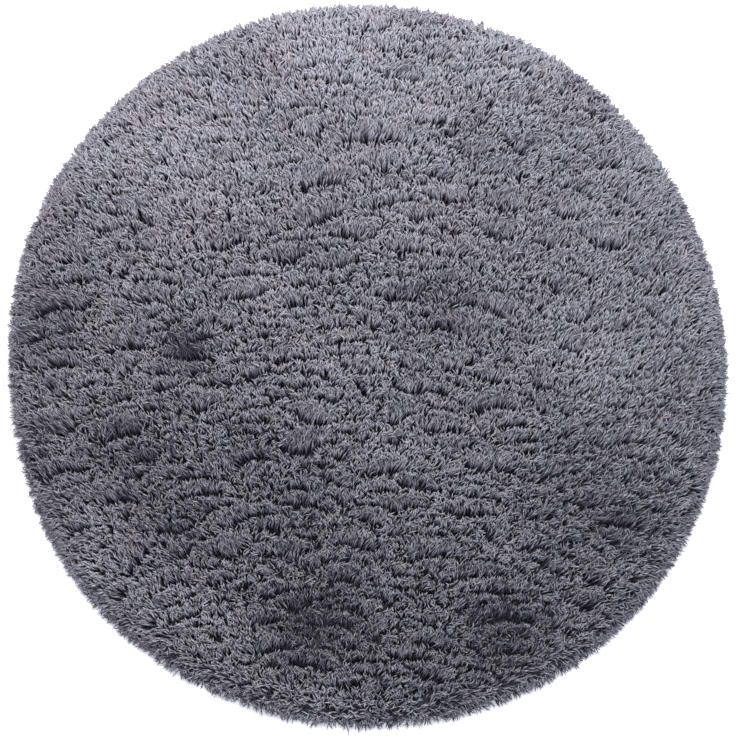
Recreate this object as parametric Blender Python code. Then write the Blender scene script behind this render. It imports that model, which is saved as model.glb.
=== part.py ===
"""Round shag rug, 1.2 m across, lying flat with its pile combed towards +Y.

One closed solid: a flat underside on the floor, a rim of pointed locks, and a lumpy top of
leaning pile with crests where the tips of the tufts end and dips where the pile parts.
"""

from collections import namedtuple
from math import atan2, cos, exp, floor, hypot, pi, radians, sin
from random import Random

import bmesh
import bpy
from mathutils import Vector, noise
from mathutils.geometry import delaunay_2d_cdt

# Driving sizes, in metres
MEAN_RADIUS = 0.600       # centre of the rug to the middle of its rim's tips
PILE_HEIGHT = 0.027       # mean height of the leaning pile over the floor
TUFT_PITCH = 0.0215       # spacing of the points that shape the top
CREST_PITCH = 0.062       # from one row of lifted tips to the next
CREST_HEIGHT = 0.0065     # foot of a row to its tips
LUMP_SPREAD = 0.048       # size across a lump of the pile
LUMP_HEIGHT = 0.0085      # scale of the lumps' heights over and under the mean
TUFT_SCATTER = 0.16       # how far those points stray, as a share of their spacing

# The rim: three rings of the slab, and the locks that stand out of its lowest band
RIM_LOCKS = 300
FOOT_INSET = 0.019        # from the tips' line back to the slab's edge on the floor
WALL_INSET = 0.015        # and back to the top of the locks' roots
WALL_HEIGHT = 0.013
SHOULDER_INSET = 0.034    # and back to where the top starts
SHOULDER_DROP = 0.006     # the shoulder lies this much under the mean height
TIP_SCATTER = 0.0045      # how far tips stand in or out of the line
TIP_HEIGHTS = (0.0025, 0.0095)
TIP_SWEEP = 0.009         # sideways reach of a lock that the combing drags along the rim

SEED = 11
YARN_COLOR = (0.136, 0.133, 0.162, 1.0)
YARN_ROUGHNESS = 0.95

# The cut is a little out of round: lobes round the lap, their size and their turn
Lobes = namedtuple("Lobes", "count size turn")
OUTLINE_LOBES = (
    Lobes(count=2, size=0.0038, turn=125),
    Lobes(count=3, size=0.0016, turn=80),
    Lobes(count=4, size=0.0025, turn=155),
    Lobes(count=5, size=0.0008, turn=-4),
    Lobes(count=6, size=0.0008, turn=119),
    Lobes(count=7, size=0.0008, turn=-54),
)

# Where a hand has left the pile lying, with the heading of its tips in degrees from +X
Stroke = namedtuple("Stroke", "x y heading")
STROKES = (
    Stroke(x=-0.54, y=0.06, heading=142),
    Stroke(x=-0.40, y=0.34, heading=136),
    Stroke(x=-0.16, y=0.42, heading=128),
    Stroke(x=0.06, y=0.50, heading=55),
    Stroke(x=0.28, y=0.42, heading=48),
    Stroke(x=0.47, y=0.18, heading=45),
    Stroke(x=0.50, y=-0.04, heading=50),
    Stroke(x=0.20, y=0.16, heading=78),
    Stroke(x=-0.18, y=0.18, heading=72),
    Stroke(x=0.00, y=-0.18, heading=66),
    Stroke(x=-0.34, y=-0.06, heading=112),
    Stroke(x=-0.42, y=-0.30, heading=134),
    Stroke(x=-0.14, y=-0.40, heading=108),
    Stroke(x=0.20, y=-0.38, heading=76),
    Stroke(x=0.44, y=-0.28, heading=44),
)
STROKE_SPREAD = 0.13

# Dips where the pile parts and its dark roots show: place, reach each way, and depth
Parting = namedtuple("Parting", "x y across along depth")
PARTINGS = (
    Parting(x=-0.298, y=0.035, across=0.022, along=0.060, depth=0.012),
    Parting(x=-0.090, y=0.190, across=0.050, along=0.018, depth=0.006),
    Parting(x=0.103, y=0.124, across=0.050, along=0.016, depth=0.006),
    Parting(x=-0.200, y=-0.272, across=0.045, along=0.030, depth=0.007),
    Parting(x=-0.083, y=-0.437, across=0.055, along=0.030, depth=0.008),
    Parting(x=0.235, y=-0.404, across=0.070, along=0.014, depth=0.008),
    Parting(x=0.438, y=0.216, across=0.045, along=0.012, depth=0.006),
    Parting(x=0.450, y=-0.163, across=0.050, along=0.014, depth=0.006),
)


def outline_radius(angle):
    """Distance from the centre to the middle of the rim's tips."""
    lobes = (lobe.size * cos(lobe.count * angle + radians(lobe.turn)) for lobe in OUTLINE_LOBES)
    return MEAN_RADIUS + sum(lobes)


def combing(x, y):
    """Unit vector in which the tips lie, blended from the strokes near a place."""
    lie = Vector((0.0, 0.0))
    for stroke in STROKES:
        distance = hypot(x - stroke.x, y - stroke.y)
        weight = exp(-0.5 * (distance / STROKE_SPREAD) ** 2) + 1e-6
        lie += weight * Vector((cos(radians(stroke.heading)), sin(radians(stroke.heading))))
    return lie.normalized()


def crest(x, y):
    """Height of the rows of tips, 0 at a row's foot to 1 at its tips, steep on the tips' side."""
    rise_right = 0.10 * x + 0.42 * max(x, 0.0) ** 2
    wander = 0.9 * noise.noise(Vector((x, y, 0.0)) / 0.13)
    turn = (y - rise_right) / CREST_PITCH + wander
    along = turn - floor(turn)
    steep = 0.68
    return along / steep if along < steep else (1.0 - along) / (1.0 - steep)


def parting_depth(x, y):
    """How far the partings sink the top."""
    return sum(
        dip.depth * exp(-((x - dip.x) / dip.across) ** 2 - ((y - dip.y) / dip.along) ** 2)
        for dip in PARTINGS
    )


def top_height(x, y):
    """Height of the lumpy top over the floor."""
    lumps = noise.noise(Vector((x, y, 0.4)) / LUMP_SPREAD)
    rows = crest(x, y) - 0.5
    return PILE_HEIGHT + LUMP_HEIGHT * lumps + CREST_HEIGHT * rows - parting_depth(x, y)


def rim_point(step, inset, height):
    """Point of a ring, set back from the line of the tips."""
    angle = 2 * pi * step / RIM_LOCKS
    radius = outline_radius(angle) - inset
    return Vector((radius * cos(angle), radius * sin(angle), height))


def add_rings(bm):
    """Edge on the floor, top of the locks' roots, and shoulder, each a loop of vertices."""
    jitter = Random(SEED)
    steps = range(RIM_LOCKS)
    foot = [bm.verts.new(rim_point(step, FOOT_INSET, 0.0)) for step in steps]
    wall = [
        bm.verts.new(rim_point(step, WALL_INSET, WALL_HEIGHT + jitter.uniform(-0.002, 0.002)))
        for step in steps
    ]
    shoulder = []
    for step in steps:
        place = rim_point(step, SHOULDER_INSET + jitter.uniform(-0.002, 0.002), 0.0)
        place.z = top_height(place.x, place.y) - SHOULDER_DROP
        shoulder.append(bm.verts.new(place))
    return foot, wall, shoulder


def add_locks(bm, foot, wall):
    """Close the lowest band with four-sided locks, each drawn out to a point."""
    scatter = Random(SEED + 1)
    for step in range(RIM_LOCKS):
        beside = (step + 1) % RIM_LOCKS
        root = (foot[step], foot[beside], wall[beside], wall[step])
        tip = rim_point(step + 0.5, -scatter.uniform(-1.0, 1.0) * TIP_SCATTER, 0.0)
        along_rim = Vector((-tip.y, tip.x)).normalized()
        drag = TIP_SWEEP * combing(tip.x, tip.y).dot(along_rim)
        tip.xy += drag * along_rim
        tip.z = scatter.uniform(*TIP_HEIGHTS)
        point = bm.verts.new(tip)
        for left, right in zip(root, root[1:] + root[:1]):
            bm.faces.new((left, right, point))


def add_band(bm, lower, upper):
    """Triangles between two loops with the same number of vertices."""
    for step in range(RIM_LOCKS):
        beside = (step + 1) % RIM_LOCKS
        bm.faces.new((lower[step], lower[beside], upper[beside]))
        bm.faces.new((lower[step], upper[beside], upper[step]))


def tuft_places():
    """Staggered places over the top, clear of the shoulder."""
    jitter = Random(SEED + 2)
    row_pitch = TUFT_PITCH * sin(pi / 3)
    count = int(MEAN_RADIUS / row_pitch)
    places = []
    for row in range(-count, count + 1):
        stagger = 0.5 * (row % 2)
        for column in range(-count, count + 1):
            x = (column + stagger + jitter.uniform(-TUFT_SCATTER, TUFT_SCATTER)) * TUFT_PITCH
            y = (row + jitter.uniform(-TUFT_SCATTER, TUFT_SCATTER)) * row_pitch
            reach = outline_radius(atan2(y, x)) - SHOULDER_INSET - 0.7 * TUFT_PITCH
            if hypot(x, y) < reach:
                places.append(Vector((x, y)))
    return places


def add_top(bm, shoulder):
    """Triangulate the shoulder's loop and the tufts' places, and lift each to the pile's height."""
    flat = [vertex.co.xy for vertex in shoulder] + tuft_places()
    loop = list(range(len(shoulder)))
    inside_the_loop = 1
    places, _, faces, origins, _, _ = delaunay_2d_cdt(flat, [], [loop], inside_the_loop, 1e-6)
    vertices = []
    for place, origin in zip(places, origins):
        if origin[0] < len(shoulder):
            vertices.append(shoulder[origin[0]])
        else:
            vertices.append(bm.verts.new((place.x, place.y, top_height(place.x, place.y))))
    for corners in faces:
        bm.faces.new([vertices[corner] for corner in corners])


def centre_on_floor(bm):
    """Put the origin under the middle of the rug's box."""
    xs = [vertex.co.x for vertex in bm.verts]
    ys = [vertex.co.y for vertex in bm.verts]
    middle = Vector(((min(xs) + max(xs)) / 2, (min(ys) + max(ys)) / 2, 0.0))
    bmesh.ops.translate(bm, verts=bm.verts, vec=-middle)


def yarn():
    """Matt grey microfibre yarn."""
    material = bpy.data.materials.new("grey_pile_yarn")
    material.use_nodes = True
    shader = material.node_tree.nodes["Principled BSDF"]
    shader.inputs["Base Color"].default_value = YARN_COLOR
    shader.inputs["Roughness"].default_value = YARN_ROUGHNESS
    shader.inputs["Metallic"].default_value = 0.0
    material.diffuse_color = YARN_COLOR
    return material


def shag_rug():
    """The whole rug as one closed body."""
    bm = bmesh.new()
    foot, wall, shoulder = add_rings(bm)
    add_locks(bm, foot, wall)
    add_band(bm, wall, shoulder)
    add_top(bm, shoulder)
    bm.faces.new(reversed(foot))
    centre_on_floor(bm)
    bmesh.ops.recalc_face_normals(bm, faces=bm.faces)
    mesh = bpy.data.meshes.new("shag_rug")
    bm.to_mesh(mesh)
    bm.free()
    mesh.shade_smooth()
    mesh.set_sharp_from_angle(angle=radians(60))
    mesh.materials.append(yarn())
    rug = bpy.data.objects.new("shag_rug", mesh)
    bpy.context.scene.collection.objects.link(rug)
    return rug


def clear_scene():
    """Start with no objects."""
    for thing in list(bpy.data.objects):
        bpy.data.objects.remove(thing, do_unlink=True)


clear_scene()
shag_rug()
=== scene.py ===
# %% [markdown]
# # A round shag rug
# A shag rug is a ground cloth with long, soft locks of yarn tufted into it. This one is 1.2 m across, cut
# round, and lies flat. From straight above nothing shows but pile: pointed locks of grey microfibre, about
# 3 mm wide, that lean over one another in tufts, row behind row, like the scales of a fish. The solid model
# is a lumpy slab with locks at its rim. Here it is dressed as what the real rug is: a thin ground cloth,
# and close to a hundred thousand locks that stand on it.

# %% Load the frame
from collections import namedtuple
from math import cos, pi, radians, sin

import bmesh
import bpy
import numpy as np
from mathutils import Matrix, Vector, kdtree, noise


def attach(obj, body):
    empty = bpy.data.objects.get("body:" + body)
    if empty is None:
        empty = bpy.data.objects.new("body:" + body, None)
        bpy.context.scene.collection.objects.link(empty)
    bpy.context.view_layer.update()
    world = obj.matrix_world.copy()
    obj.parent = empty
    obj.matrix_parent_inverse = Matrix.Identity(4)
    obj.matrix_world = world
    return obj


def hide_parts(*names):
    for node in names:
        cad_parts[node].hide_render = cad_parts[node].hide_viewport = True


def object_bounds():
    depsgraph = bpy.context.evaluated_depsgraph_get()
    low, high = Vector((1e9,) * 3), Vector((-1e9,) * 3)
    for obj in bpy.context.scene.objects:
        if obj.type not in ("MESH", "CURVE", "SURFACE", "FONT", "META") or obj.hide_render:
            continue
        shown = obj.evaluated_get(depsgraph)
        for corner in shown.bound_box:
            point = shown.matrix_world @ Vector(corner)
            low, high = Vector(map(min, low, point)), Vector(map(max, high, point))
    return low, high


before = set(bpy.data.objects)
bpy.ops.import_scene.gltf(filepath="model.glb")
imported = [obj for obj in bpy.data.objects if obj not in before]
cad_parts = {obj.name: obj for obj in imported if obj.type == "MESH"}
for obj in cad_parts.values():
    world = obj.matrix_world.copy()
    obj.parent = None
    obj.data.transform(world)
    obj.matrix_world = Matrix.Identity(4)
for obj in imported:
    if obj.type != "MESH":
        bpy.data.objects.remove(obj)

RUG = "shag_rug"
BODY = "root"
MM = 0.001
cad_low, cad_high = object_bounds()
cad_size = cad_high - cad_low
print("solid model, mm:", [round(side / MM, 1) for side in cad_size])

# %% [markdown]
# ## Camera
# The rug lies on a floor and is seen from straight above, so a camera that looks down, with +Y up in the
# picture, is enough. A long lens a few metres up keeps the rim from leaning outwards. The lens follows from
# the rug's width and from how much of the picture it fills.

# %% Camera over the rug
PICTURE_PX = 736                    # width and height of the picture
RUG_WIDTH_PX = 725                  # how wide the rug is in it
RUG_MIDDLE_PX = (366.5, 367.0)      # where its middle is, from the upper left corner
CAMERA_HEIGHT = 3.4
SENSOR_MM = 36.0

metres_per_px = cad_size.x / RUG_WIDTH_PX
picture_width = PICTURE_PX * metres_per_px
camera_data = bpy.data.cameras.new("camera")
camera_data.sensor_width = SENSOR_MM
camera_data.lens = SENSOR_MM * CAMERA_HEIGHT / picture_width
camera = bpy.data.objects.new("camera", camera_data)
camera.location = (
    (PICTURE_PX / 2 - RUG_MIDDLE_PX[0]) * metres_per_px,
    (RUG_MIDDLE_PX[1] - PICTURE_PX / 2) * metres_per_px,
    CAMERA_HEIGHT,
)
bpy.context.scene.collection.objects.link(camera)
bpy.context.scene.camera = camera
bpy.context.scene.view_settings.view_transform = "Standard"
print("lens, mm:", round(camera_data.lens, 1))

# %% [markdown]
# ## Helpers for materials and trees
# Colours are written as the sRGB hex values that a picture editor shows, and Blender's sockets want linear
# light, so one function turns the one into the other. Another adds a node, sets its properties, and fills
# or links its inputs. It works for shader trees and for Geometry Nodes alike, which keeps each tree a short
# list.

# %% Helpers
def linear(hex_color):
    """Linear light, with an alpha of 1, for an sRGB hex colour such as "#a9a7b4"."""
    channels = [int(hex_color[i:i + 2], 16) / 255 for i in (1, 3, 5)]
    return tuple(c / 12.92 if c <= 0.04045 else ((c + 0.055) / 1.055) ** 2.4 for c in channels) + (1.0,)


def add(tree, kind, inputs=None, **settings):
    """Add a node. inputs maps a socket's name or place to a value, or to the socket that feeds it."""
    node = tree.nodes.new(kind)
    for name, value in settings.items():
        setattr(node, name, value)
    shown = [socket for socket in node.inputs if socket.enabled]
    for key, value in (inputs or {}).items():
        socket = shown[key] if isinstance(key, int) else next(s for s in shown if s.name == key)
        if isinstance(value, bpy.types.NodeSocket):
            tree.links.new(value, socket)
        else:
            socket.default_value = value
    return node


def out(node, name=None):
    """The node's output of that name, or its first, among those its settings leave on."""
    return next(s for s in node.outputs if s.enabled and name in (None, s.name))


def new_material(name, roughness):
    """A material for the real thing of that name, with its tree and the shader to be fed."""
    material = bpy.data.materials.new(name)
    material.use_nodes = True
    shader = material.node_tree.nodes["Principled BSDF"]
    shader.inputs["Roughness"].default_value = roughness
    return material, material.node_tree, shader


def new_object(name, mesh):
    """Link a mesh to the scene as an object at the origin."""
    thing = bpy.data.objects.new(name, mesh)
    bpy.context.scene.collection.objects.link(thing)
    return thing


# %% [markdown]
# ## Light and floor
# A rug for sale is shown on white in soft, even light. A bright plain world fills the gaps between the
# locks, and one broad lamp beyond the rug's far side lights the tips more than the roots, and that side
# more than the near one. The floor is a plain white sheet. It is lit a little past white, so that the rug's
# own shadow all but vanishes.

# %% Studio
FLOOR_SIZE = 40.0
FLOOR_GAP = 0.4 * MM                # below the rug's underside
FLOOR_WHITE = "#f4f4f5"
FLOOR_ROUGHNESS = 0.9
WORLD_COLOR = "#ebedf8"
WORLD_STRENGTH = 1.25
LAMP_SIZE = 2.2
LAMP_POWER = 168.0
LAMP_PLACE = (0.2, 1.9, 2.3)        # it shines at the rug's middle
LAMP_COLOR = (1.0, 0.97, 0.93)

world = bpy.data.worlds.new("studio")
world.use_nodes = True
world.node_tree.nodes["Background"].inputs["Color"].default_value = linear(WORLD_COLOR)
world.node_tree.nodes["Background"].inputs["Strength"].default_value = WORLD_STRENGTH
bpy.context.scene.world = world

light = bpy.data.lights.new("key", "AREA")
light.size = LAMP_SIZE
light.energy = LAMP_POWER
light.color = LAMP_COLOR
lamp = bpy.data.objects.new("key", light)
lamp.location = LAMP_PLACE
lamp.rotation_mode = "QUATERNION"
lamp.rotation_quaternion = (-Vector(LAMP_PLACE)).to_track_quat("-Z", "Y")
bpy.context.scene.collection.objects.link(lamp)

paper, _, paper_shader = new_material("matt_white_paper", FLOOR_ROUGHNESS)
paper_shader.inputs["Base Color"].default_value = linear(FLOOR_WHITE)
half = FLOOR_SIZE / 2
corners = [(x, y, -FLOOR_GAP) for x, y in ((-half, -half), (half, -half), (half, half), (-half, half))]
floor_mesh = bpy.data.meshes.new("floor")
floor_mesh.from_pydata(corners, [], [(0, 1, 2, 3)])
floor_mesh.materials.append(paper)
floor = new_object("floor", floor_mesh)
print("floor:", FLOOR_SIZE, "m square,", FLOOR_GAP / MM, "mm below the rug")

# %% [markdown]
# ## The cut
# The rug is cut round by hand, so it isn't a true circle: a few lobes of 1 to 4 mm run round its rim. The
# same short table shapes the solid model, and so the pile ends where the solid does.

# %% Outline of the tips
MEAN_RADIUS = 0.600
Lobes = namedtuple("Lobes", "count size turn")         # size in metres, turn in degrees
OUTLINE_LOBES = (
    Lobes(count=2, size=0.0038, turn=125),
    Lobes(count=3, size=0.0016, turn=80),
    Lobes(count=4, size=0.0025, turn=155),
    Lobes(count=5, size=0.0008, turn=-4),
    Lobes(count=6, size=0.0008, turn=119),
    Lobes(count=7, size=0.0008, turn=-54),
)


def outline_radius(angle):
    """Distance from the centre to the middle of the rim's tips."""
    waves = [lobe.size * np.cos(lobe.count * angle + radians(lobe.turn)) for lobe in OUTLINE_LOBES]
    return MEAN_RADIUS + sum(waves)


def rim_distance(places):
    """How far each place lies inside the line of the tips."""
    return outline_radius(np.arctan2(places[:, 1], places[:, 0])) - np.linalg.norm(places, axis=1)


print("outline, mm:", (outline_radius(np.linspace(0, 2 * pi, 9)) / MM).round(1))

# %% [markdown]
# ## Ground cloth
# Under the pile is a stiff woven cloth, about 2 mm thick, a little smaller than the rug because the outer
# locks hang over its edge. It is a disc with thickness. Only its weave needs a material, because it shows
# from below alone. The weave is two sets of waves, one along each way, which is how crossing threads look
# when they go over and under.

# %% Woven polyester
THREAD_PITCH = 2.5 * MM             # coarser than the real 1 mm, so that the weave shows
THREAD_HEIGHT = 0.4 * MM
THREAD_BUMP = 0.5
THREAD_DARK, THREAD_LIGHT = "#2c2c32", "#5b5a63"
CLOTH_ROUGHNESS = 0.85


def woven_polyester():
    """Plain-woven polyester: two crossing sets of threads, each a wave over the other."""
    material, tree, shader = new_material("woven_polyester_ground", CLOTH_ROUGHNESS)
    place = out(add(tree, "ShaderNodeTexCoord"), "Object")
    waves_per_thread = pi / 10      # the wave texture's own measure
    stretch = {"Vector": place, "Scale": waves_per_thread / THREAD_PITCH}
    warp, weft = [out(add(tree, "ShaderNodeTexWave", stretch, bands_direction=way), "Fac") for way in "XY"]
    weave = out(add(tree, "ShaderNodeMath", {0: warp, 1: weft}))
    share = out(add(tree, "ShaderNodeMapRange", {"Value": weave, "From Max": 2.0}))
    tones = {"Factor": share, "A": linear(THREAD_DARK), "B": linear(THREAD_LIGHT)}
    tree.links.new(out(add(tree, "ShaderNodeMix", tones, data_type="RGBA")), shader.inputs["Base Color"])
    relief = {"Height": weave, "Strength": THREAD_BUMP, "Distance": THREAD_HEIGHT}
    tree.links.new(out(add(tree, "ShaderNodeBump", relief)), shader.inputs["Normal"])
    return material


weave_material = woven_polyester()
print("nodes in the weave:", len(weave_material.node_tree.nodes))

# %% Ground cloth
CLOTH_INSET = 0.013                 # from the tips' line back to the cloth's edge
CLOTH_THICKNESS = 2.0 * MM
CLOTH_STEPS = 180                   # points round its edge


def ground_cloth():
    """The cloth as a closed disc that follows the rug's outline."""
    angles = np.linspace(0, 2 * pi, CLOTH_STEPS, endpoint=False)
    radii = outline_radius(angles) - CLOTH_INSET
    bm = bmesh.new()
    low, high = [
        [bm.verts.new((r * cos(a), r * sin(a), z)) for r, a in zip(radii, angles)]
        for z in (0.0, CLOTH_THICKNESS)
    ]
    bm.faces.new(high)
    bm.faces.new([low[0], *reversed(low[1:])])
    for step in range(CLOTH_STEPS):
        bm.faces.new((low[step - 1], low[step], high[step], high[step - 1]))
    mesh = bpy.data.meshes.new("ground_cloth")
    bm.to_mesh(mesh)
    bm.free()
    mesh.materials.append(weave_material)
    return new_object("ground_cloth", mesh)


cloth = ground_cloth()

# %% [markdown]
# ## Soft noise
# Nearly everything about the pile wanders: its height, its heading, its shade. One noise makes all of it,
# cut at a different height for each use, so that no two wander together by chance.

# %% Noise and small functions on rows of places
SEED = 7
dice = np.random.default_rng(SEED)
LAYERS = {
    "rows": 0.0, "shade": 3.0, "warmth": 7.0, "flecks": 9.0, "rim": 11.0, "ragged": 13.0, "swirl": 15.0,
    "turn": 21.0, "lift": 23.0, "curl": 25.0,
}
NEARLY_ZERO = 1e-9


def soft_noise(places, spread, use):
    """Smooth noise of about -1 to 1 with lumps as wide as spread, cut at the height for its use."""
    return np.array([noise.noise((x / spread, y / spread, LAYERS[use])) for x, y in places])


def turned(vectors, angles):
    """Rows of (x, y) turned by angles."""
    c, s = np.cos(angles), np.sin(angles)
    x, y = vectors.T
    return np.stack((c * x - s * y, s * x + c * y), axis=1)


def unit(vectors):
    """Rows scaled to length 1."""
    return vectors / np.maximum(np.linalg.norm(vectors, axis=1, keepdims=True), NEARLY_ZERO)


def smooth(share):
    """Ease from 0 to 1."""
    share = np.clip(share, 0.0, 1.0)
    return share * share * (3 - 2 * share)


# %% [markdown]
# ## How the pile lies
# Shag takes the shape of the last hand or foot that brushed it. A short table of strokes says how this one
# was left: the heading of the tips near each, and how far tufts stray from it. Between strokes the heading
# is a weighted mean, so that it turns smoothly. Near the rim the locks turn until they hang outwards over
# the cloth's edge. They turn by angle, because a mean of two opposite headings would stand them upright and
# leave a dark ring. Single locks turn a little further or less, so that no sharp line shows where left
# turns meet right ones. Where they'd have to turn right round, the band is narrow, and everywhere it swirls
# a little.

# %% Strokes
Stroke = namedtuple("Stroke", "x y heading stray")     # heading in degrees from +X towards +Y
STROKES = (
    Stroke(x=-0.54, y=0.06, heading=120, stray=0.9),
    Stroke(x=-0.40, y=0.34, heading=128, stray=0.6),
    Stroke(x=-0.16, y=0.42, heading=118, stray=0.7),
    Stroke(x=0.06, y=0.50, heading=70, stray=0.8),
    Stroke(x=0.28, y=0.42, heading=52, stray=0.7),
    Stroke(x=0.47, y=0.18, heading=57, stray=0.4),
    Stroke(x=0.50, y=-0.04, heading=62, stray=0.3),
    Stroke(x=0.20, y=0.16, heading=88, stray=1.0),
    Stroke(x=-0.18, y=0.18, heading=92, stray=1.1),
    Stroke(x=0.00, y=-0.18, heading=78, stray=1.1),
    Stroke(x=-0.34, y=-0.06, heading=102, stray=1.2),
    Stroke(x=-0.42, y=-0.30, heading=134, stray=0.8),
    Stroke(x=-0.14, y=-0.40, heading=92, stray=1.2),
    Stroke(x=0.20, y=-0.38, heading=70, stray=1.2),
    Stroke(x=0.44, y=-0.28, heading=44, stray=0.9),
)
STROKE_SPREAD = 0.13                # how far round it a stroke holds
LEAST_WEIGHT = 1e-6                 # so that every place has a heading


def brushed(places):
    """Heading of the tips at each place, as an angle, and how far tufts stray from it."""
    lie = np.zeros_like(places)
    stray = np.zeros(len(places))
    total = np.zeros(len(places))
    for stroke in STROKES:
        gap = np.hypot(places[:, 0] - stroke.x, places[:, 1] - stroke.y)
        weight = np.exp(-0.5 * (gap / STROKE_SPREAD) ** 2) + LEAST_WEIGHT
        lie += weight[:, None] * (cos(radians(stroke.heading)), sin(radians(stroke.heading)))
        stray += weight * stroke.stray
        total += weight
    return np.arctan2(lie[:, 1], lie[:, 0]), stray / total


print("strokes:", len(STROKES))

# %% Turn outwards at the rim
RIM_TURN = 0.065                    # width of the band where locks turn outwards
RIM_NARROWING = 0.2                 # how much of that is lost where they turn furthest, as a share
RIM_TURN_LIMIT = radians(150)       # the furthest that they turn
RIM_WANDER = 0.6                    # how far the width wanders, as a share
RIM_WANDER_SPREAD = 0.06
RIM_TURN_SCATTER = 0.5              # spread of single locks' turn, in radians
RIM_SWIRL = 0.9                     # how far the rim's locks wander from straight outwards, in radians
RIM_SWIRL_SPREAD = 0.07
RIM_TOUSLE = 1.6                    # how much more they stray where they turn furthest


def rim_share(places, turn=0.0):
    """How far the locks at each place have turned outwards: 0 inside to 1 at the cloth's edge."""
    width = RIM_TURN * (1 + RIM_WANDER * soft_noise(places, RIM_WANDER_SPREAD, "rim"))
    width *= 1 - RIM_NARROWING * (1 - np.cos(turn))
    return smooth(1.0 - (rim_distance(places) - CLOTH_INSET) / width)


def combing(places):
    """Heading of the tip at each root, as rows of length 1, how far tufts stray, and how far they part."""
    inner_angle, stray = brushed(places)
    outwards = np.arctan2(places[:, 1], places[:, 0])
    full_turn = outwards - inner_angle + dice.normal(0, RIM_TURN_SCATTER, len(places))
    turn = ((full_turn + pi) % (2 * pi) - pi).clip(-RIM_TURN_LIMIT, RIM_TURN_LIMIT)
    share = rim_share(places, turn)
    angle = inner_angle + share * (turn + RIM_SWIRL * soft_noise(places, RIM_SWIRL_SPREAD, "swirl"))
    parted = np.sin(pi * share) * (0.5 - 0.5 * np.cos(turn)) ** 2
    return np.stack((np.cos(angle), np.sin(angle)), axis=1), stray + RIM_TOUSLE * parted, parted


print("band where locks turn outwards, mm:", RIM_TURN / MM)

# %% [markdown]
# ## The height of the pile
# The top of the rug rises and falls in lumps and in rows of lifted tips, and it sinks in a few partings,
# where the pile opens and its dark roots show. This is the solid model's own formula, so that the locks end
# round about the solid's surface. Towards the rim the pile bows down to the floor.

# %% Rows of lifted tips
CREST_PITCH = 0.062                 # from one row of lifted tips to the next
CREST_STEEP = 0.68                  # share of a row that climbs
CREST_WANDER = 0.9                  # how far rows wander, in rows
CREST_WANDER_SPREAD = 0.13
RIGHT_SLOPE = 0.10                  # how steeply a row climbs towards +X in the middle
RIGHT_BEND = 0.42                   # and how fast it bends upwards on the right


def rise_right(x):
    """How far a row of tips has climbed at x: the rows bend upwards on the right."""
    return RIGHT_SLOPE * x + RIGHT_BEND * np.maximum(x, 0.0) ** 2


def row_wander(places):
    """How far the rows have wandered at each place, in rows."""
    return CREST_WANDER * soft_noise(places, CREST_WANDER_SPREAD, "rows")


def crest(places):
    """Height of the rows of tips, 0 at a row's foot to 1 at its tips, steep on the tips' side."""
    along = ((places[:, 1] - rise_right(places[:, 0])) / CREST_PITCH + row_wander(places)) % 1.0
    return np.where(along < CREST_STEEP, along / CREST_STEEP, (1.0 - along) / (1.0 - CREST_STEEP))


print("rows across the rug:", round(2 * MEAN_RADIUS / CREST_PITCH))

# %% Partings
Parting = namedtuple("Parting", "x y across along depth")
PARTINGS = (
    Parting(x=-0.298, y=0.035, across=0.022, along=0.060, depth=0.012),
    Parting(x=-0.090, y=0.190, across=0.050, along=0.018, depth=0.006),
    Parting(x=0.103, y=0.124, across=0.050, along=0.016, depth=0.006),
    Parting(x=-0.200, y=-0.272, across=0.045, along=0.030, depth=0.007),
    Parting(x=-0.083, y=-0.437, across=0.055, along=0.030, depth=0.008),
    Parting(x=0.235, y=-0.404, across=0.070, along=0.014, depth=0.008),
    Parting(x=0.438, y=0.216, across=0.045, along=0.012, depth=0.006),
    Parting(x=0.450, y=-0.163, across=0.050, along=0.014, depth=0.006),
)


def parting_depth(places):
    """How far the partings sink the top."""
    x, y = places.T
    sink = np.zeros(len(places))
    for dip in PARTINGS:
        sink += dip.depth * np.exp(-((x - dip.x) / dip.across) ** 2 - ((y - dip.y) / dip.along) ** 2)
    return sink


print("partings:", len(PARTINGS))

# %% Height of the tips
PILE_HEIGHT = 0.027
CREST_HEIGHT = 0.0065
LUMP_SPREAD = 0.048
LUMP_HEIGHT = 0.0045
LUMP_LAYER = 0.4                    # height of the cut through the noise
RIM_BOW = 0.017                     # how fast the pile falls off towards the rim
RIM_TIP_HEIGHT = 0.0045


def rim_bulge(places):
    """Share of its full height that the pile has at each place: 0 at the line of the tips."""
    return 1 - np.exp(-np.maximum(rim_distance(places), 0.0) / RIM_BOW)


def top_height(places):
    """Height of the lumpy top over the floor, bowed down at the rim."""
    layer = LUMP_LAYER / LUMP_SPREAD
    lumps = np.array([noise.noise((x / LUMP_SPREAD, y / LUMP_SPREAD, layer)) for x, y in places])
    flat = PILE_HEIGHT + LUMP_HEIGHT * lumps + CREST_HEIGHT * (crest(places) - 0.5) - parting_depth(places)
    return RIM_TIP_HEIGHT + (flat - RIM_TIP_HEIGHT) * rim_bulge(places)


middle = np.zeros((1, 2))
print("height in the middle, mm:", (top_height(middle) / MM).round(1))

# %% [markdown]
# ## Roots
# A tufting machine sets the yarn in staggered rows, a few millimetres apart, and the needle never strikes
# quite true. Rows with a little chance in them give the same even cover, and no pattern shows.

# %% Roots of the locks
ROOT_PITCH = 3.56 * MM
ROOT_SCATTER = 0.35                 # share of the pitch
ROOT_HEIGHT = 1.2 * MM              # inside the cloth


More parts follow.
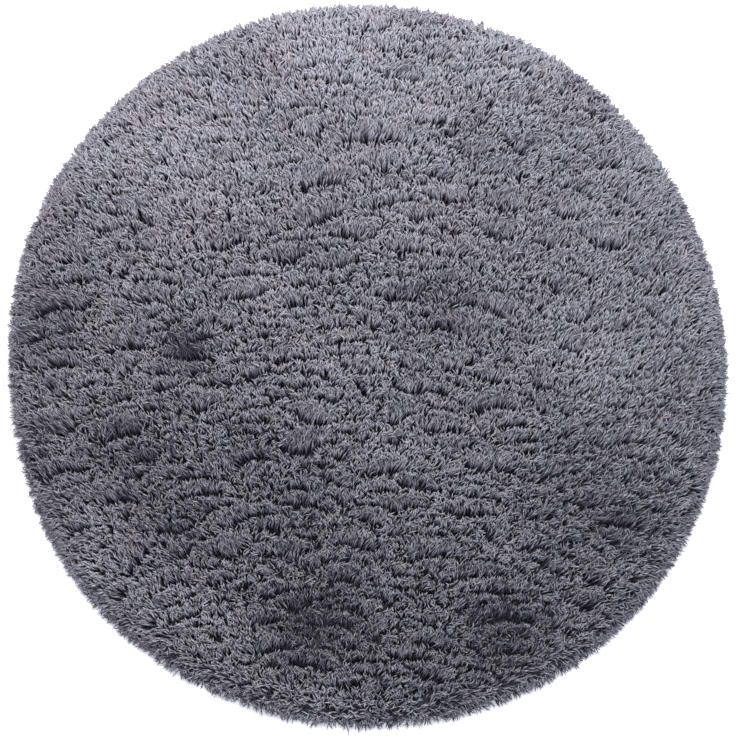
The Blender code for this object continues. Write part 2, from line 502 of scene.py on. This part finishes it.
def tufted_roots():
    """Places of the locks' roots, in staggered rows over the cloth."""
    row_pitch = ROOT_PITCH * sin(pi / 3)
    count = int(MEAN_RADIUS / row_pitch) + 1
    row, column = np.mgrid[-count:count + 1, -count:count + 1]
    x = (column + 0.5 * (row % 2)) * ROOT_PITCH
    places = np.stack((x, row * row_pitch), axis=-1).reshape(-1, 2)
    places += dice.uniform(-ROOT_SCATTER, ROOT_SCATTER, places.shape) * ROOT_PITCH
    return places[rim_distance(places) > CLOTH_INSET]


roots = tufted_roots()
lock_count = len(roots)
print("locks:", lock_count)

# %% [markdown]
# ## Clumps
# In use, neighbouring locks cling together. The tips of a clump end on one ragged line, its front edge, and
# past that line the next clump's dark roots show. The clumps overlap like the scales of a fish, so they are
# laid out like scales: in staggered rows, each an ellipse that hides what lies before it. A lock belongs to
# the clump that covers the place where its tip would fall.

# %% Middles of the clumps
CLUMP_ROW = 31 * MM                 # from one clump's front edge to the next
CLUMP_WIDTH = 60 * MM
CLUMP_SCATTER = 0.26                # share of that row and width
SPARE_CLUMPS, SPARE_ROWS = 4, 5     # past the rim, since the rows climb and wander
LEFT_CLIMB = 0.28                   # how steeply the clumps' rows climb from the rim on the left
LEFT_CLIMB_END = -0.20              # the X where that ends
ROW_FOLLOW = 0.5                    # how far the clumps' rows wander with the crests


def clump_middles():
    """Middles of the clumps, staggered like the scales of a fish, in rows that climb from left to right."""
    count = int(MEAN_RADIUS / CLUMP_ROW) + SPARE_CLUMPS
    rows = count + SPARE_ROWS
    row, column = np.mgrid[-rows:rows + 1, -count:count + 1]
    x = (column + 0.5 * (row % 2)).ravel() * CLUMP_WIDTH
    climb = rise_right(x) + LEFT_CLIMB * np.minimum(x - LEFT_CLIMB_END, 0.0)
    places = np.stack((x, row.ravel() * CLUMP_ROW + climb), axis=1)
    places[:, 1] -= ROW_FOLLOW * CREST_PITCH * row_wander(places)
    return places + dice.normal(0, CLUMP_SCATTER, places.shape) * (CLUMP_WIDTH, CLUMP_ROW)


clumps = clump_middles()
print("clumps:", int((rim_distance(clumps) > 0).sum()))

# %% The clump over a place
CLUMP_SQUASH = 0.49                 # depth of a clump as a share of its width
CLUMP_RADIUS = 34 * MM
CLUMP_SIZES = 0.20                  # how much clumps differ in size, as a share
CLUMP_SIZES_END = 0.35              # and how much at most
CLUMP_CHANCE_END = 2                # how far a clump's lift and shade go at most, in spreads
CLUMP_TURN = radians(12)

clump_size = dice.normal(0, CLUMP_SIZES, len(clumps)).clip(-CLUMP_SIZES_END, CLUMP_SIZES_END)
clump_radius = CLUMP_RADIUS * (1 + clump_size)
clump_turn = dice.normal(0, CLUMP_TURN, len(clumps))
clump_lift = dice.normal(0, 1, len(clumps)).clip(-CLUMP_CHANCE_END, CLUMP_CHANCE_END)
clump_shade = dice.normal(0, 1, len(clumps)).clip(-CLUMP_CHANCE_END, CLUMP_CHANCE_END)
clump_finder = kdtree.KDTree(len(clumps))
for index, (x, y) in enumerate(clumps):
    clump_finder.insert((x * CLUMP_SQUASH, y, 0.0), index)
clump_finder.balance()


def clump_over(place, heading):
    """The clump that covers a place: of those that reach it, the one whose middle lies furthest back."""
    x, y = place[0] * CLUMP_SQUASH, place[1]
    near = [
        ((middle.x - x) * heading[0] + (middle.y - y) * heading[1], index)
        for middle, index, gap in clump_finder.find_range((x, y, 0.0), clump_radius.max())
        if gap < clump_radius[index]
    ]
    return min(near)[1] if near else clump_finder.find((x, y, 0.0))[1]


print("radius of a clump, mm:", (np.percentile(clump_radius, [0, 50, 100]) / MM).round(1))

# %% [markdown]
# ## Patches
# The yarn is one dye lot, yet the rug looks patchy. Pile that leans away from the eye shows its bright sides:
# there the rug looks full and pale, its clumps close up and only soft gaps show. Where the pile parts it
# looks thin and dark, and its clumps stand out. A short table names the large patches, and towards the far
# side, where the lamp is, all pile is a little paler. Three things use this: how much the clumps stand out,
# how wide a lock is, and its shade. In the shade this is painted light and painted shade.

# %% Light and dark patches
Patch = namedtuple("Patch", "x y spread shade")
PATCHES = (
    Patch(x=-0.298, y=0.035, spread=0.040, shade=-0.55),
    Patch(x=-0.090, y=0.190, spread=0.050, shade=-0.12),
    Patch(x=0.120, y=0.110, spread=0.065, shade=-0.22),
    Patch(x=-0.530, y=0.070, spread=0.060, shade=-0.32),
    Patch(x=0.450, y=0.300, spread=0.070, shade=0.12),
    Patch(x=0.174, y=0.401, spread=0.045, shade=-0.20),
    Patch(x=-0.390, y=-0.130, spread=0.075, shade=-0.26),
    Patch(x=-0.199, y=-0.120, spread=0.060, shade=-0.14),
    Patch(x=-0.300, y=-0.250, spread=0.060, shade=-0.22),
    Patch(x=-0.110, y=-0.200, spread=0.080, shade=-0.14),
    Patch(x=-0.080, y=-0.410, spread=0.090, shade=-0.34),
    Patch(x=0.220, y=-0.430, spread=0.090, shade=-0.26),
    Patch(x=0.440, y=-0.240, spread=0.070, shade=-0.20),
    Patch(x=0.350, y=-0.180, spread=0.080, shade=-0.16),
    Patch(x=0.050, y=-0.150, spread=0.060, shade=0.14),
    Patch(x=-0.062, y=0.541, spread=0.090, shade=0.46),
    Patch(x=0.070, y=0.430, spread=0.090, shade=0.20),
    Patch(x=-0.290, y=0.370, spread=0.120, shade=0.38),
    Patch(x=0.350, y=0.470, spread=0.060, shade=-0.10),
    Patch(x=-0.450, y=0.350, spread=0.050, shade=0.22),
    Patch(x=-0.560, y=-0.150, spread=0.050, shade=-0.25),
    Patch(x=0.220, y=0.490, spread=0.090, shade=0.26),
    Patch(x=0.372, y=0.025, spread=0.080, shade=0.22),
    Patch(x=0.550, y=0.100, spread=0.060, shade=0.20),
    Patch(x=-0.057, y=0.020, spread=0.070, shade=0.16),
    Patch(x=-0.460, y=-0.320, spread=0.090, shade=0.20),
    Patch(x=-0.243, y=-0.436, spread=0.070, shade=0.24),
    Patch(x=-0.080, y=-0.550, spread=0.070, shade=0.24),
    Patch(x=-0.350, y=-0.370, spread=0.060, shade=0.22),
    Patch(x=-0.160, y=0.140, spread=0.050, shade=0.20),
    Patch(x=0.050, y=0.260, spread=0.050, shade=0.12),
)
SHADE_SLOPE = 0.20                  # paler towards +Y, the lamp's side, in shades per radius: painted light in the colour, and fuller locks


def paleness(places):
    """How much paler than the rest the rug looks at each place, in shades: about -0.5 to 0.7. In a lock's
    colour this is painted light and shade.
    """
    shades = SHADE_SLOPE * places[:, 1] / MEAN_RADIUS
    for patch in PATCHES:
        gap = np.hypot(places[:, 0] - patch.x, places[:, 1] - patch.y)
        shades += patch.shade * np.exp(-(gap / patch.spread) ** 2)
    return shades


print("patches:", len(PATCHES))

# %% [markdown]
# ## Tips
# A lock leans from its root along the combing, and further where the pile is calm, which is where tufts
# stray least. It doesn't lean alone: the locks of a bundle about 15 mm wide stray, lift and curl together,
# as wet hair does, and only a little chance parts them. Then its clump draws each tip towards the front
# edge. That bares the roots behind the edge and lifts the tips on it, which makes the rows of bright tips
# and dark gaps. In calm and pale pile the clumps draw and lift less. Last, no tip may pass the rim by more
# than a few millimetres, apart from its hook, or stand above the pile's highest.

# %% Lean of each lock
REACH = 12.5 * MM                   # how far a lock leans over
REACH_SCATTER = 0.20                # spread of single locks, as a share
REACH_SCATTER_END = 0.4             # and how much at most
RIM_LEAN = 0.45                     # how much further it leans at the rim
CALM_LEAN = 0.6                     # how much further it leans where nothing strays
BUNDLE_WIDTH = 14 * MM
BUNDLE_TURN = radians(88)
LOCK_TURN = radians(10)             # spread of single locks about their bundle

heading, stray, parted = combing(roots)
bundle_turn = stray * BUNDLE_TURN * soft_noise(roots, BUNDLE_WIDTH, "turn")
lock_turn = dice.normal(0, LOCK_TURN, lock_count)
calm = 1 - stray.clip(0, 1)
reach = REACH * (1 + RIM_LEAN * rim_share(roots) + CALM_LEAN * calm)
reach *= 1 + dice.normal(0, REACH_SCATTER, lock_count).clip(-REACH_SCATTER_END, REACH_SCATTER_END)
tips = roots + reach[:, None] * turned(heading, bundle_turn + lock_turn)
print("reach, mm:", np.percentile(reach / MM, [0, 50, 100]).round(1))

# %% Draw of its clump
FAN = 0.2                           # how far the locks of a clump spread like a fan
FAN_BACK = 0.5                      # how far behind a clump's middle its fan starts, in its radii
FRONT_PULL = 0.55                   # how far a tip is drawn to its clump's front edge
CALMEST = 0.5                       # share of the pull that's left where nothing strays
CALMING = 0.2                       # how much less of it is left in a paler patch
FRONT_RAGGED = 7.5 * MM
FRONT_RAGGED_SPREAD = 12 * MM
PULL_INSET = 0.03                   # from the cloth's edge in to where the pull is full

owner = np.array([clump_over(tip, way) for tip, way in zip(tips, heading)])
from_middle = (tips - clumps[owner]) * (CLUMP_SQUASH, 1.0)
edge = clump_radius[owner] + FRONT_RAGGED * soft_noise(tips, FRONT_RAGGED_SPREAD, "ragged")
to_front = (edge - np.linalg.norm(from_middle, axis=1)).clip(0, CLUMP_ROW)
fan = unit(from_middle + FAN_BACK * clump_radius[owner, None] * heading)
lie = turned(unit((1 - FAN) * heading + FAN * fan), clump_turn[owner])
liveliness = (1 - (1 - CALMEST) * calm - CALMING * paleness(tips)).clip(0, 1)
pull = FRONT_PULL * liveliness * smooth((rim_distance(roots) - CLOTH_INSET) / PULL_INSET)
tips += (pull * to_front)[:, None] * lie
# 0.5 on a lively clump's front edge, less behind it.
phase = liveliness * (0.5 - (1 - FRONT_PULL) * to_front / CLUMP_ROW)
print("drawn to the front edge, mm:", np.percentile(pull * to_front / MM, [0, 50, 100]).round(1))

# %% Limit at the rim
RIM_TIP_SCATTER = 2.0 * MM
RIM_RAGGED = 4.5 * MM
RIM_RAGGED_SPREAD = 13 * MM
RIM_TIP_REACH = 7.0 * MM            # the furthest that a tip passes the line of the tips, before its hook

allowed = RIM_RAGGED * soft_noise(roots, RIM_RAGGED_SPREAD, "rim")
allowed += dice.normal(0, RIM_TIP_SCATTER, lock_count)
past_rim = -rim_distance(tips) - allowed.clip(-RIM_TIP_REACH, RIM_TIP_REACH)
tips -= np.maximum(past_rim, 0.0)[:, None] * unit(tips)
print("tips held back at the rim:", int((past_rim > 0).sum()))

# %% Height and curl of the tips
BUNDLE_LIFT = 2.0 * MM
LOCK_LIFT = 2.6 * MM
CLUMP_RISE = 11.0 * MM              # from a clump's foot to its front edge
CLUMP_LIFT = 1.2 * MM
LOWEST_TIP, HIGHEST_TIP = 2.0 * MM, 44.0 * MM
BUNDLE_CURL = 1.8
LOCK_CURL = 0.45

lift = BUNDLE_LIFT * soft_noise(roots, BUNDLE_WIDTH, "lift")
lift += CLUMP_RISE * phase + CLUMP_LIFT * clump_lift[owner]
lift += dice.normal(0, LOCK_LIFT, lock_count)
height = (top_height(tips) + rim_bulge(tips) * lift).clip(LOWEST_TIP, HIGHEST_TIP)
curl = (1 - calm) * BUNDLE_CURL * soft_noise(roots, BUNDLE_WIDTH, "curl")
curl += dice.normal(0, LOCK_CURL, lock_count)
print("tips' heights, mm:", np.percentile(height / MM, [0, 5, 50, 95, 100]).round(1))

# %% [markdown]
# ## Shades
# Each lock gets one of a few dozen shades: from its patch, from its place in its clump and from chance. The
# patch and the place are painted light and shade: a tip on its clump's front edge is painted bright, and one
# behind it painted dark. A second number picks the tint, since yarn in shadow looks warmer or cooler. Both
# numbers go into the lock's own UV map: across it runs the row of tints and shades, and up it runs the way
# from root to tip.

# %% Shade of each lock
SHADES = 40
TINTS = 3                           # cool, plain and warm
COLUMNS = SHADES * TINTS
ALMOST_ALL = 0.999                  # so that a share of 1 falls into the last column
FULLNESS = 0.8                      # how much wider a paler patch's locks are
SLIMMEST, FULLEST = 0.62, 1.35
MIDDLE_SHADE = 0.40
PATCH_PAINTED_SHADE = 0.62                  # painted light and shade: how much of a patch goes into its locks' colour
NOISE_SHADE = 0.07
NOISE_SHADE_SPREAD = 0.07
# Painted light on the lifted rows of tips, and painted shade at their feet.
CREST_PAINTED_LIGHT = 0.03
PHASE_PAINTED_LIGHT = 0.46                  # painted light towards a clump's front edge, painted shade behind it
CLUMP_SHADE = 0.02
LOCK_SHADE = 0.18
PARTED_PAINTED_LIGHT = 0.24                 # painted light where the rim's locks part from the others, against the shade of the gap

soft_shade = paleness(tips)
fullness = (1 + FULLNESS * soft_shade).clip(SLIMMEST, FULLEST)
# The patch's share of the shade is painted light and shade.
shade = MIDDLE_SHADE + PATCH_PAINTED_SHADE * soft_shade
shade += NOISE_SHADE * soft_noise(tips, NOISE_SHADE_SPREAD, "shade")
# Painted light on lifted rows, on clumps' front edges and where the rim's locks part; painted shade behind
# the edges.
shade += CREST_PAINTED_LIGHT * (crest(tips) - 0.5) + PHASE_PAINTED_LIGHT * phase + PARTED_PAINTED_LIGHT * parted
shade += CLUMP_SHADE * clump_shade[owner] + dice.normal(0, LOCK_SHADE, lock_count)
print("mean shade:", shade.mean().round(2))

# %% Tint of each lock
WARM_DRIFT = 0.25
WARM_DRIFT_SPREAD = 0.10
WARM_FLECKS = 0.5
WARM_FLECKS_SPREAD = 0.022
WARM_SLOPE = 0.15                   # cooler towards +X, per radius
WARM_SCATTER = 0.16

warmth = 0.5 - WARM_SLOPE * tips[:, 0] / MEAN_RADIUS
warmth += WARM_DRIFT * soft_noise(tips, WARM_DRIFT_SPREAD, "warmth")
warmth += WARM_FLECKS * soft_noise(tips, WARM_FLECKS_SPREAD, "flecks")
warmth += dice.normal(0, WARM_SCATTER, lock_count)
tint = (warmth.clip(0, ALMOST_ALL) * TINTS).astype(int)
column = tint * SHADES + (shade.clip(0, ALMOST_ALL) * SHADES).astype(int)
print("locks of each tint:", np.bincount(tint))

# %% [markdown]
# ## One lock, a hundred thousand times
# A lock is a slim three-sided spindle in two lengths: thin where it leaves the cloth, fullest above the
# middle and pointed at its tip, with just 10 triangles. Geometry Nodes put one on every root, and then bend
# each along its own path. The path rises steeply from the root, leans over and ends nearly level, and near
# the tip it hooks to one side. A tree is right for pile, because it bends a hundred thousand locks at once,
# and the width, the bow and the hook of all of them stay single named values.

# %% Measures of a lock
LOCK_WIDTH = 2.9 * MM
WIDTH_VARIATION = 0.28
CURL = 3.8 * MM                     # how far a lock bows to one side
HOOK = 10.0 * MM                    # how far its tip hooks to one side
HOOK_POWER = 3.0                    # the higher, the nearer to the tip the hook begins
LEAN_POWER = 1.45                   # over 1, a lock stands up first and leans later
SIDES = 3
LENGTHS = 2
BUTT = 0.55                         # width at the root, as a share of the lock's width
SWELL = 2.85                        # how the width grows before it tapers
RING_POWER = 2.0                    # over 1, the spindle's middle ring sits above its middle
FACE_SHARE = 0.3                    # how far a lock's faces reach from the middle of its column of the UV map

print("triangles in a lock:", SIDES * (2 * LENGTHS - 1) + SIDES - 2)

# %% The tree that tufts the pile
TREE_INPUTS = {
    "Lock Width": "Float", "Width Variation": "Float", "Curl": "Float", "Hook": "Float",
    "Lean Power": "Float", "Columns": "Float", "Seed": "Int", "Yarn": "Material",
}


def tufting_tree():
    """Geometry Nodes that stand a lock on every root and bend it over to its tip."""
    tree = bpy.data.node_groups.new("tufting", "GeometryNodeTree")
    tree.interface.new_socket("Roots", in_out="INPUT", socket_type="NodeSocketGeometry")
    for name, kind in TREE_INPUTS.items():
        tree.interface.new_socket(name, in_out="INPUT", socket_type="NodeSocket" + kind)
    tree.interface.new_socket("Pile", in_out="OUTPUT", socket_type="NodeSocketGeometry")
    given = add(tree, "NodeGroupInput").outputs

    def math(operation, *values):
        return out(add(tree, "ShaderNodeMath", dict(enumerate(values)), operation=operation))

    def vector(operation, *values, **named):
        inputs = {**dict(enumerate(values)), **named}
        return out(add(tree, "ShaderNodeVectorMath", inputs, operation=operation))

    def join(**parts):
        return out(add(tree, "ShaderNodeCombineXYZ", parts))

    def split(socket):
        return add(tree, "ShaderNodeSeparateXYZ", {0: socket}).outputs

    def read(name, data_type="FLOAT"):
        return out(add(tree, "GeometryNodeInputNamedAttribute", {"Name": name}, data_type=data_type))

    def store(geometry, name, value, data_type="FLOAT", domain="POINT"):
        inputs = {"Geometry": geometry, "Name": name, "Value": value}
        settings = {"data_type": data_type, "domain": domain}
        return out(add(tree, "GeometryNodeStoreNamedAttribute", inputs, **settings))

    def chance(low, high, step):
        inputs = {"Min": low, "Max": high, "Seed": math("ADD", given["Seed"], float(step))}
        return out(add(tree, "FunctionNodeRandomValue", inputs, data_type="FLOAT"))

    # One spindle on every root, each with a width and a bow of its own.
    place = out(add(tree, "GeometryNodeInputPosition"))
    thinnest = math("SUBTRACT", 1.0, given["Width Variation"])
    thickest = math("ADD", 1.0, given["Width Variation"])
    planted = store(given["Roots"], "root", place, "FLOAT_VECTOR")
    planted = store(planted, "plump", chance(thinnest, thickest, 1))
    planted = store(planted, "bow", chance(-1.0, 1.0, 2))
    spindle = add(
        tree, "GeometryNodeMeshCone",
        {"Vertices": SIDES, "Side Segments": LENGTHS, "Radius Top": 0.0, "Radius Bottom": 1.0, "Depth": 1.0},
    )
    shaped = store(out(spindle, "Mesh"), "shape", place, "FLOAT_VECTOR")
    locks = out(add(tree, "GeometryNodeInstanceOnPoints", {"Points": planted, "Instance": shaped}))
    pile = out(add(tree, "GeometryNodeRealizeInstances", {"Geometry": locks}))

    # The way from root to tip, 0 to 1, and the two directions across it.
    shape = split(read("shape", "FLOAT_VECTOR"))
    tip = split(read("tip", "FLOAT_VECTOR"))
    to_go = math("POWER", math("SUBTRACT", 1.0, shape["Z"]), RING_POWER)
    way = math("SUBTRACT", 1.0, to_go)
    level = join(X=tip["X"], Y=tip["Y"], Z=0.0)
    side = vector("NORMALIZE", vector("CROSS_PRODUCT", (0.0, 0.0, 1.0), level))
    slower = math("POWER", way, math("SUBTRACT", given["Lean Power"], 1.0))
    lean_pace = math("MULTIPLY", given["Lean Power"], slower)
    climb_pace = math("MULTIPLY", math("MULTIPLY", to_go, 2.0), tip["Z"])
    along = vector("ADD", vector("SCALE", level, Scale=lean_pace), join(Z=climb_pace))
    back = vector("NORMALIZE", vector("CROSS_PRODUCT", along, side))

    # The spine leans and climbs. To one side it bows and hooks.
    lean = math("POWER", way, given["Lean Power"])
    climb = math("MULTIPLY", math("SUBTRACT", 1.0, math("MULTIPLY", to_go, to_go)), tip["Z"])
    spine = vector("ADD", read("root", "FLOAT_VECTOR"), vector("SCALE", level, Scale=lean))
    spine = vector("ADD", spine, join(Z=climb))
    bow_size = math("MULTIPLY", given["Curl"], read("bow"))
    hook_size = math("MULTIPLY", given["Hook"], read("curl"))
    bow = math("MULTIPLY", bow_size, math("SINE", math("MULTIPLY", way, pi)))
    hook = math("MULTIPLY", hook_size, math("POWER", way, HOOK_POWER))

    # The skin round the spine.
    girth = math("MULTIPLY", math("MULTIPLY", given["Lock Width"], 0.5), read("plump"))
    girth = math("MULTIPLY", girth, read("fullness"))
    swell = math("MULTIPLY", girth, math("MULTIPLY_ADD", shape["Z"], SWELL, BUTT))
    across = math("ADD", math("ADD", bow, hook), math("MULTIPLY", swell, shape["Y"]))
    outer = math("MULTIPLY", swell, shape["X"])
    spread = vector("ADD", vector("SCALE", side, Scale=across), vector("SCALE", back, Scale=outer))
    skin = vector("ADD", spine, spread)
    bent = out(add(tree, "GeometryNodeSetPosition", {"Geometry": pile, "Position": skin}))

    # The lock's own map, and the yarn.
    column_middle = math("ADD", read("column"), 0.5)
    u = math("DIVIDE", math("MULTIPLY_ADD", shape["Y"], FACE_SHARE, column_middle), given["Columns"])
    mapped = store(bent, "OFBake", join(X=u, Y=way), "FLOAT2", "CORNER")
    for name in ("root", "tip", "plump", "fullness", "bow", "curl", "shape", "column"):
        mapped = out(add(tree, "GeometryNodeRemoveAttribute", {"Geometry": mapped, "Name": name}))
    soft = out(add(tree, "GeometryNodeSetShadeSmooth", {"Geometry": mapped}))
    dressed = out(add(tree, "GeometryNodeSetMaterial", {"Geometry": soft, "Material": given["Yarn"]}))
    add(tree, "NodeGroupOutput", {"Pile": dressed})
    return tree


tufting = tufting_tree()
print("nodes in the tree:", len(tufting.nodes))

# %% [markdown]
# ## Microfibre yarn
# The locks are brushed polyester microfibre: matt, with a faint sheen where a fibre is seen edge on, and
# fine lines along each lock. The colour runs from nearly black at the root, a painted shade for the little
# light that gets in there, to lavender grey at the tip. The shade brightens or darkens the whole lock. The
# material reads only the lock's own map, so that it stays with the lock.

# %% Colours of the yarn
TintPair = namedtuple("TintPair", "dark light")
# dark is a painted shade at a lock's root, light the yarn's own colour at its tip
TINT_COLORS = (
    TintPair(dark="#1a1b30", light="#6a6c72"),
    TintPair(dark="#1c1a30", light="#6c6c72"),
    TintPair(dark="#1f1a2f", light="#6f6c71"),
)
DARKEST, LIGHTEST = 0.12, 2.45      # what the ends of the row of shades do to the colour
SHADE_GAIN = 0.65                   # how much of that the whole lock takes
SHADE_SHIFT = 0.5                   # how far a lighter lock's painted root shade withdraws, as a share of its length
DARK_PART, LIGHT_PART = 0.2, 1.0    # where on the way from root to tip the painted root shade starts and stops fading

print("linear colour of a plain tip:", [round(channel, 3) for channel in linear(TINT_COLORS[1].light)[:3]])

# %% Yarn material
FIBRES_ACROSS, FIBRES_ALONG = 4.0, 5.0
FIBRE_DETAIL = 2.0
FIBRE_LOW, FIBRE_HIGH = 0.3, 0.7    # where the noise that makes the fibres is cut off
FIBRE_LIGHT = 0.2                   # how much a fibre differs from its neighbour
FIBRE_HEIGHT = 0.5 * MM
FIBRE_BUMP = 0.35
YARN_ROUGHNESS = 0.8
SHEEN = 0.18
SHEEN_ROUGHNESS = 0.4
GLOSS = 0.20
SHEEN_COLOR = "#d0cdf0"


def microfibre_yarn():
    """Brushed polyester microfibre, with painted shade at the root and its own pale colour at the tip."""
    material, tree, shader = new_material("brushed_polyester_microfibre", YARN_ROUGHNESS)

    def math(operation, *values):
        return out(add(tree, "ShaderNodeMath", dict(enumerate(values)), operation=operation))

    def mix(share, first, second):
        return out(add(tree, "ShaderNodeMix", {"Factor": share, "A": first, "B": second}, data_type="RGBA"))

    def scale(color, strength):
        return out(add(tree, "ShaderNodeVectorMath", {0: color, "Scale": strength}, operation="SCALE"))

    def remap(value, start, stop, low, high, **settings):
        inputs = {"Value": value, "From Min": start, "From Max": stop, "To Min": low, "To Max": high}
        return out(add(tree, "ShaderNodeMapRange", inputs, **settings))

    # Which shade and tint the lock has, and where on it this is.
    own_map = out(add(tree, "ShaderNodeUVMap", uv_map="OFBake"))
    chart = add(tree, "ShaderNodeSeparateXYZ", {0: own_map}).outputs
    cell = math("MULTIPLY", chart["X"], float(COLUMNS))
    column_number = math("FLOOR", cell)
    tint_number = math("FLOOR", math("DIVIDE", column_number, float(SHADES)))
    shade_number = math("MODULO", column_number, float(SHADES))
    brightness = remap(shade_number, 0.0, SHADES - 1.0, DARKEST, LIGHTEST)
    extra = math("SUBTRACT", brightness, 1.0)
    shifted = math("MULTIPLY_ADD", extra, SHADE_SHIFT, chart["Y"])
    way = remap(shifted, DARK_PART, LIGHT_PART, 0.0, 1.0, interpolation_type="SMOOTHSTEP")

    # The colour from the painted shade at the root to the pale tip, in tint 0, 1 or 2.
    past_cool = math("GREATER_THAN", tint_number, 0.5)
    past_plain = math("GREATER_THAN", tint_number, 1.5)
    cool, plain, warm = TINT_COLORS
    dark = mix(past_plain, mix(past_cool, linear(cool.dark), linear(plain.dark)), linear(warm.dark))
    pale = mix(past_plain, mix(past_cool, linear(cool.light), linear(plain.light)), linear(warm.light))
    tone = scale(mix(way, dark, pale), math("MULTIPLY_ADD", extra, SHADE_GAIN, 1.0))

    # The fibres are long thin streaks, other ones on each column.
    streak_x = math("MULTIPLY", math("FRACT", cell), FIBRES_ACROSS)
    streak_y = math("MULTIPLY", chart["Y"], FIBRES_ALONG)
    streak_place = out(add(tree, "ShaderNodeCombineXYZ", {"X": streak_x, "Y": streak_y, "Z": column_number}))
    noise_inputs = {"Vector": streak_place, "Scale": 1.0, "Detail": FIBRE_DETAIL}
    streaks = out(add(tree, "ShaderNodeTexNoise", noise_inputs))
    fibre_light = remap(streaks, FIBRE_LOW, FIBRE_HIGH, 1 - FIBRE_LIGHT, 1 + FIBRE_LIGHT)
    relief = {"Height": streaks, "Strength": FIBRE_BUMP, "Distance": FIBRE_HEIGHT}
    tree.links.new(scale(tone, fibre_light), shader.inputs["Base Color"])
    tree.links.new(out(add(tree, "ShaderNodeBump", relief)), shader.inputs["Normal"])
    shader.inputs["Specular IOR Level"].default_value = GLOSS
    shader.inputs["Sheen Weight"].default_value = SHEEN
    shader.inputs["Sheen Roughness"].default_value = SHEEN_ROUGHNESS
    shader.inputs["Sheen Tint"].default_value = linear(SHEEN_COLOR)
    shader.inputs["Specular Tint"].default_value = linear(SHEEN_COLOR)
    return material


yarn = microfibre_yarn()
print("nodes in the yarn:", len(yarn.node_tree.nodes))

# %% [markdown]
# ## Tufting
# The tree runs once for each of six strips of roots, from the near side to the far side, so that no piece
# is heavy. A seam between two strips can't be seen, because their locks cross it.

# %% Tuft the pile, strip by strip
STRIPS = 6                          # each is a piece of its own, under 200,000 triangles
SEED_STEP = 10                      # so that no two strips share their chances
sockets = {item.name: item.identifier for item in tufting.interface.items_tree if item.in_out == "INPUT"}


def tuft_strip(name, chosen, seed):
    """Plant the chosen roots, run the tree on them and keep what it makes as a plain mesh."""
    mesh = bpy.data.meshes.new(name + "_roots")
    places = np.column_stack((roots[chosen], np.full(len(chosen), ROOT_HEIGHT)))
    mesh.from_pydata(places.tolist(), [], [])
    leans = np.column_stack((tips[chosen] - roots[chosen], height[chosen] - ROOT_HEIGHT))
    mesh.attributes.new("tip", "FLOAT_VECTOR", "POINT").data.foreach_set("vector", leans.ravel())
    for label, values in (("column", column), ("curl", curl), ("fullness", fullness)):
        mesh.attributes.new(label, "FLOAT", "POINT").data.foreach_set("value", values[chosen].astype(float))
    strip = new_object(name, mesh)
    modifier = strip.modifiers.new("tufting", "NODES")
    modifier.node_group = tufting
    settings = {
        "Lock Width": LOCK_WIDTH, "Width Variation": WIDTH_VARIATION, "Curl": CURL, "Hook": HOOK,
        "Lean Power": LEAN_POWER, "Columns": float(COLUMNS), "Seed": seed, "Yarn": yarn,
    }
    for label, value in settings.items():
        modifier[sockets[label]] = value
    evaluated = strip.evaluated_get(bpy.context.evaluated_depsgraph_get())
    pile_mesh = bpy.data.meshes.new_from_object(evaluated)
    strip.modifiers.clear()
    strip.data = pile_mesh
    bpy.data.meshes.remove(mesh)
    pile_mesh.name = name
    return strip


near_to_far = np.argsort(roots[:, 1])
strips = []
for number, chosen in enumerate(np.array_split(near_to_far, STRIPS), start=1):
    strip = tuft_strip(f"pile_strip_{number}", chosen, SEED + SEED_STEP * number)
    strip.data.calc_loop_triangles()
    print(strip.name, "triangles:", len(strip.data.loop_triangles))
    strips.append(strip)

# %% [markdown]
# ## Hang the pieces on the rug's body
# The cloth is a sheet that lies flat, cut round, and the strips of pile go with it. Together they stand for
# the solid rug, which is hidden.

# %% Hang the pieces on the body
for piece in [cloth, *strips]:
    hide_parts(RUG)
    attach(piece, BODY)
